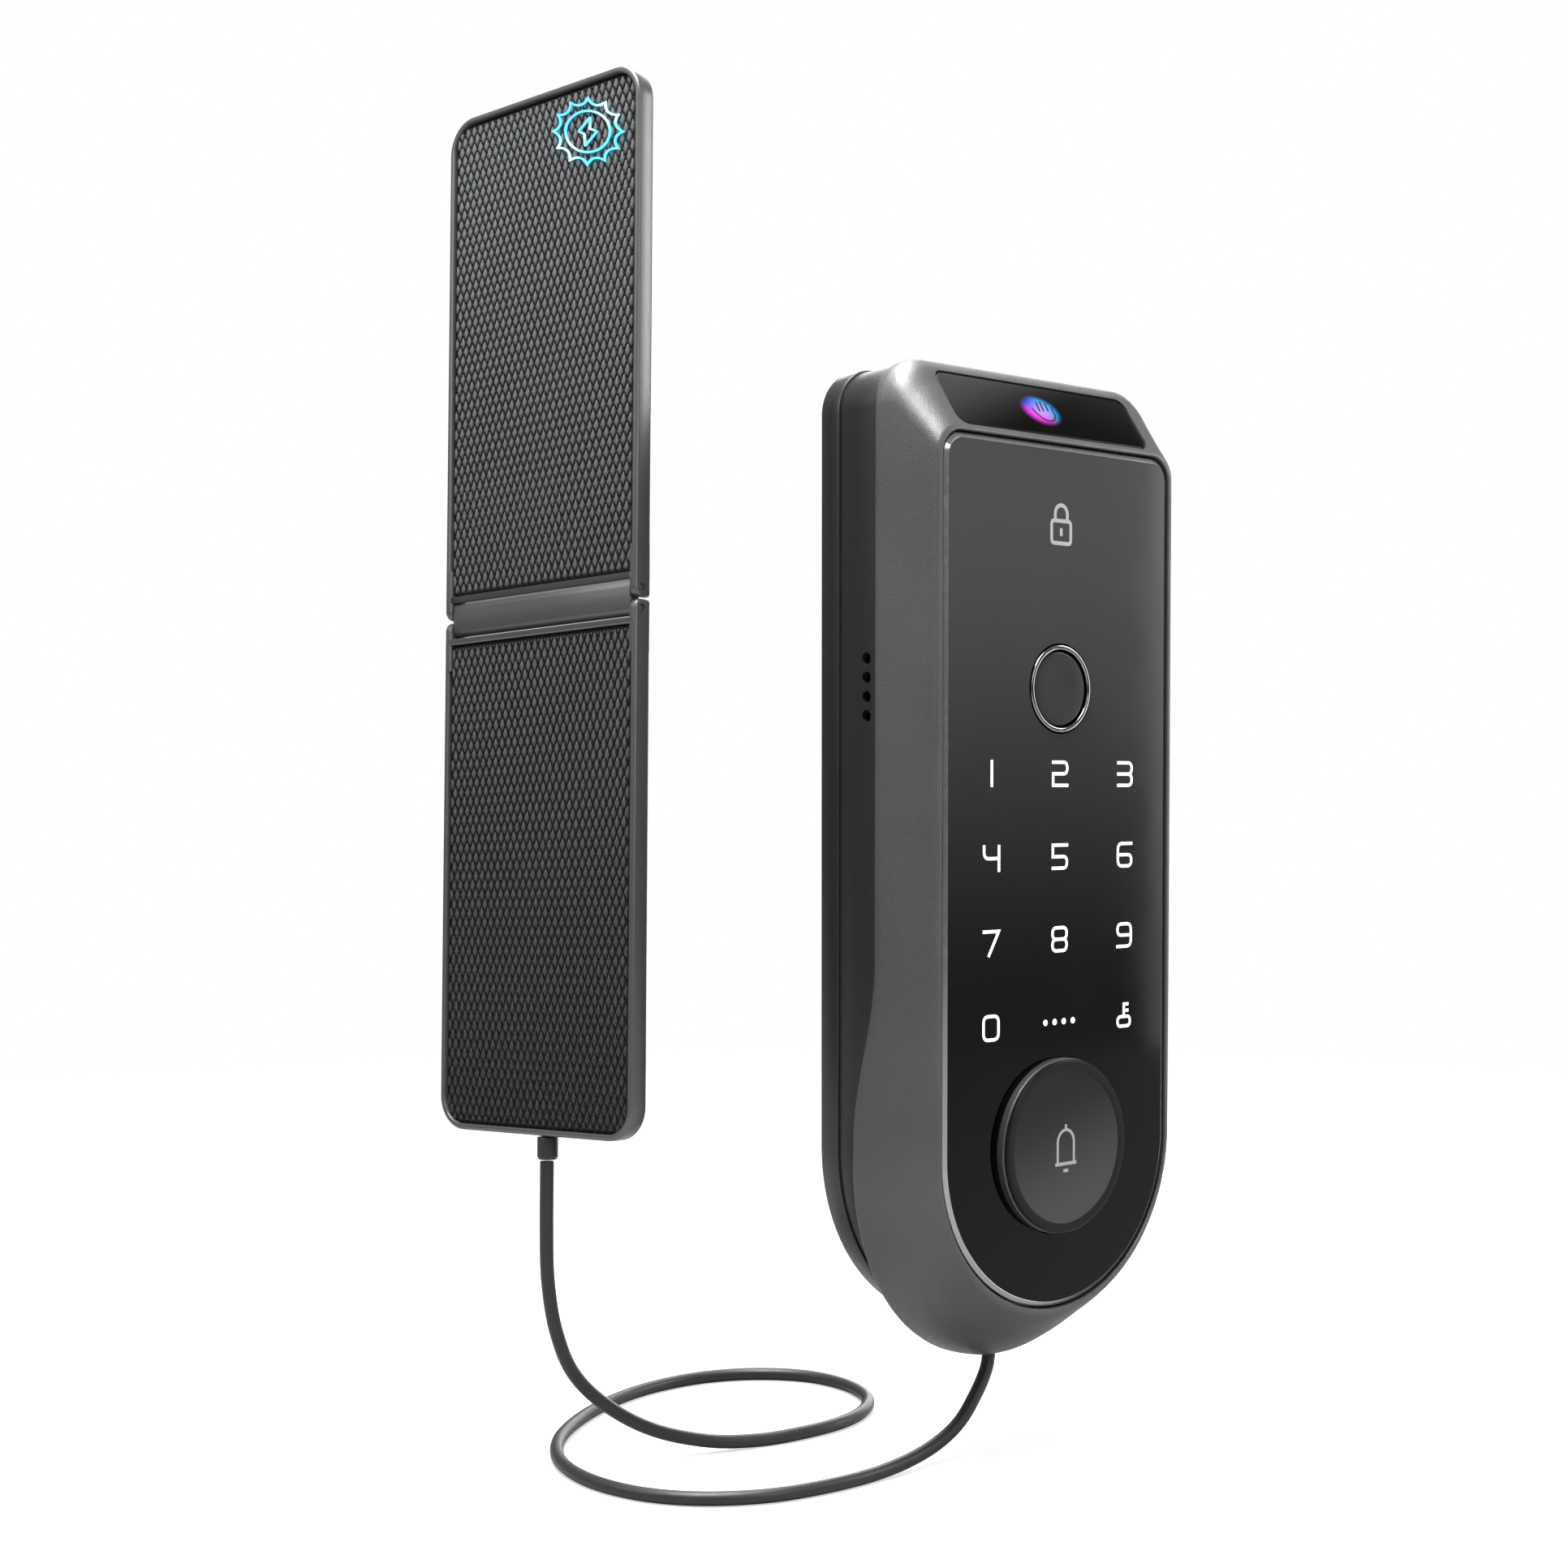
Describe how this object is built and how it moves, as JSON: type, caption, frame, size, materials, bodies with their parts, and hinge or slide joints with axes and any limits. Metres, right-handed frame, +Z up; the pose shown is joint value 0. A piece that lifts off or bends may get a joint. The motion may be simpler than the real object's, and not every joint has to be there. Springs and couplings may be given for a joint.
{
  "type": "keypad smart lock",
  "caption": "Exterior unit of a keypad smart lock with fingerprint reader, palm reader window and doorbell button, on a lead to a folding solar panel.",
  "frame": {"origin": "centre of the lock's round lower end, on its rear face, which lies on the door", "axes": "+X to the right of someone facing the lock, keypad faces -Y, +Y into the door, +Z up"},
  "size_m": [0.1241, 0.0975, 0.2669],
  "materials": {
    "cast_housing": "satin metallic grey with a fine bead-blast grain",
    "moulded_housing": "fine satin, near black",
    "plated_back": "satin dark grey",
    "cover_glass": "opaque black-printed glass, high gloss",
    "polished_ring": "dark polished",
    "black_rubber": "matte",
    "circuit_board": "green solder mask",
    "white_diffuser": "translucent white",
    "zinc_steel": "bright zinc",
    "brass": "turned",
    "panel_alloy": "dark grey anodised satin",
    "solar_laminate": "embossed lozenge film over dark cells",
    "lead_jacket": "smooth satin black",
    "adhesive_foam": "matte foam with adhesive face"
  },
  "bodies": {
    "lock": {"front_housing": "cast_housing", "doorbell_bezel": "cast_housing", "mid_housing": "moulded_housing", "speaker": "moulded_housing", "reader_camera_module": "moulded_housing", "back_plate": "plated_back", "glass_panel": "cover_glass", "reader_window": "cover_glass", "fingerprint_sensor": "cover_glass", "reader_camera_lens": "cover_glass", "fingerprint_bezel": "polished_ring", "door_seal": "black_rubber", "glass_seal": "black_rubber", "harness_grommet": "black_rubber", "doorbell_dome": "black_rubber", "reader_window_seal": "black_rubber", "speaker_mesh": "black_rubber", "cable_plug": "black_rubber", "panel_gland": "black_rubber", "keypad_board": "circuit_board", "main_board": "circuit_board", "charge_board": "circuit_board", "keypad_light_guide": "white_diffuser", "reader_lamp_left": "white_diffuser", "reader_lamp_right": "white_diffuser", "case_screw_1": "zinc_steel", "case_screw_2": "zinc_steel", "case_screw_3": "zinc_steel", "case_screw_4": "zinc_steel", "charge_socket": "zinc_steel", "lower_hinge_pin_left": "zinc_steel", "lower_hinge_pin_right": "zinc_steel", "mounting_bushing_left": "brass", "mounting_bushing_right": "brass", "lower_leaf_frame": "panel_alloy", "lower_solar_cell": "solar_laminate", "solar_cable": "lead_jacket", "adhesive_pad": "adhesive_foam"},
    "doorbell": {"doorbell_cap": "cover_glass"},
    "hinge_bar": {"hinge_bar": "panel_alloy"},
    "upper_leaf": {"upper_leaf_frame": "panel_alloy", "upper_solar_cell": "solar_laminate", "upper_hinge_pin_left": "zinc_steel", "upper_hinge_pin_right": "zinc_steel"}
  },
  "joints": [
    {"name": "doorbell_press", "type": "slide", "parent": "lock", "child": "doorbell", "axis": [0, 1, 0], "range_m": [0, 0.0004], "stiffness_N_per_m": 1500, "springref_m": -0.0008},
    {"name": "lower_hinge", "type": "hinge", "parent": "lock", "child": "hinge_bar", "pos_m": [-0.07713, 0.03413, 0.10129], "axis": [0.1485, -0.988, 0.0435], "range_deg": [0, 90]},
    {"name": "upper_hinge", "type": "hinge", "parent": "hinge_bar", "child": "upper_leaf", "pos_m": [-0.07693, 0.03433, 0.10518], "axis": [0.1485, -0.988, 0.0435], "range_deg": [0, 90]}
  ]
}
